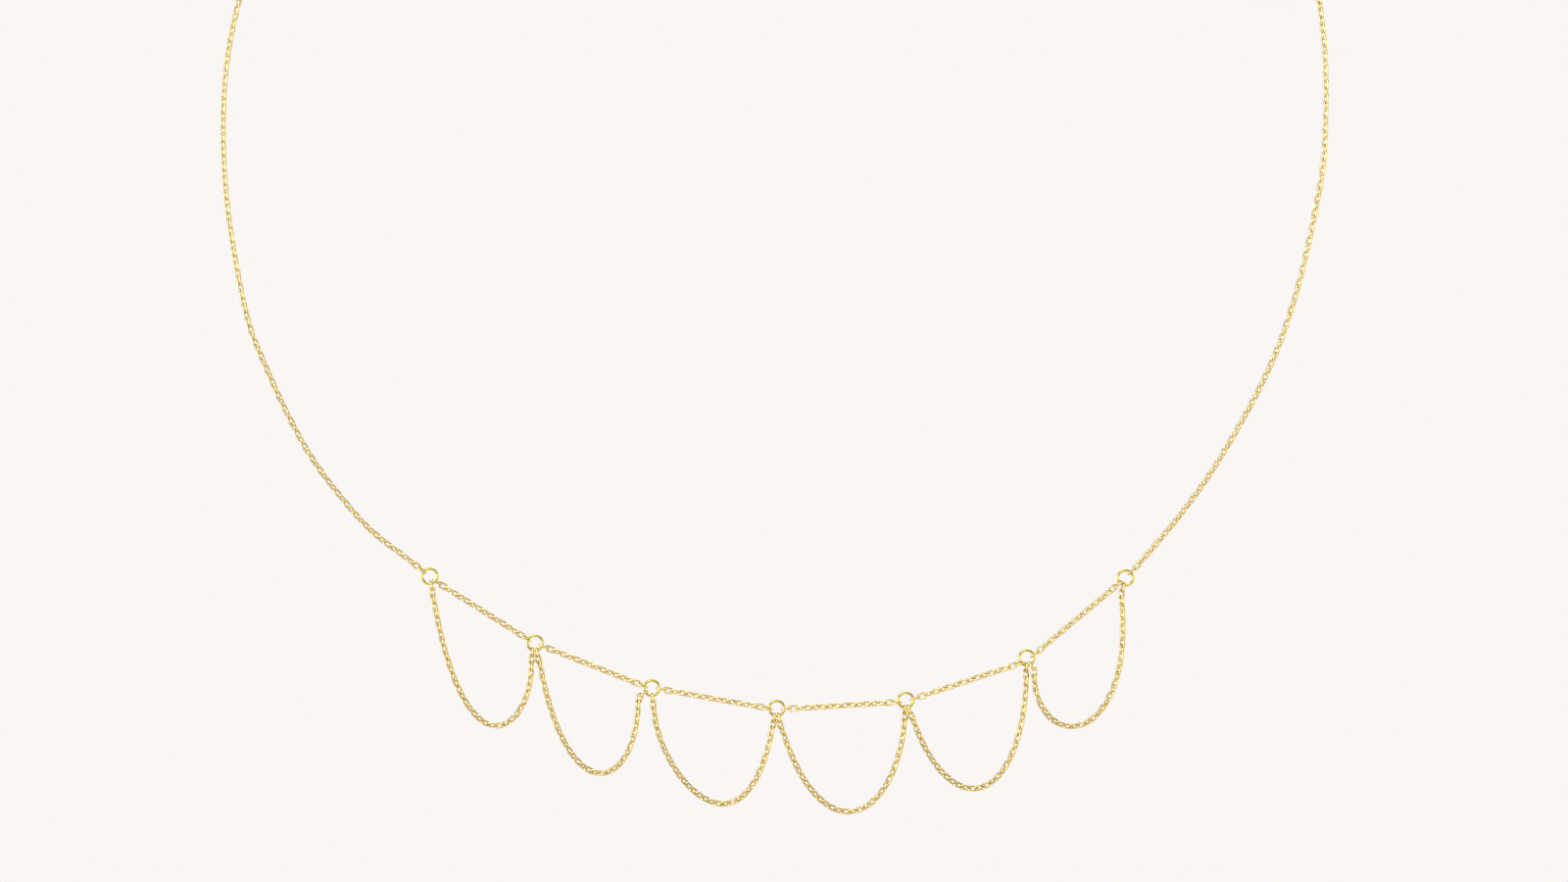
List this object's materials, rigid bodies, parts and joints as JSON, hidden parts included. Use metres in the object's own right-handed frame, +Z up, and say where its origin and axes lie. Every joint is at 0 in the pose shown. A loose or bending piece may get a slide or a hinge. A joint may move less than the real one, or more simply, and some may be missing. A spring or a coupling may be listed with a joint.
{
  "type": "necklace",
  "caption": "Fine cable-chain necklace whose front is parted by small jump rings, with a swag of the same chain hanging under each stretch.",
  "frame": {"origin": "the nape: where the underside of the clasp, at the top of the loop, bears on the neck", "axes": "+Z up, with the swags hanging towards -Z; +X to the wearer's left, which is right in the picture; the front faces -Y"},
  "size_m": [0.1357, 0.0026, 0.1554],
  "materials": {
    "gold_chain": "polished pale yellow gold",
    "gold_swag": "polished pale yellow gold",
    "gold_ring": "polished pale yellow gold",
    "gold_clasp": "polished pale yellow gold"
  },
  "bodies": {
    "root": {"clasp": "gold_clasp", "end_ring": "gold_clasp", "side_chain_left": "gold_chain", "side_chain_right": "gold_chain", "jump_ring_1": "gold_ring", "jump_ring_2": "gold_ring", "jump_ring_3": "gold_ring", "jump_ring_4": "gold_ring", "jump_ring_5": "gold_ring", "jump_ring_6": "gold_ring", "jump_ring_7": "gold_ring", "front_chain_1": "gold_chain", "front_chain_2": "gold_chain", "front_chain_3": "gold_chain", "front_chain_4": "gold_chain", "front_chain_5": "gold_chain", "front_chain_6": "gold_chain", "swag_1": "gold_swag", "swag_2": "gold_swag", "swag_3": "gold_swag", "swag_4": "gold_swag", "swag_5": "gold_swag", "swag_6": "gold_swag"}
  },
  "joints": []
}
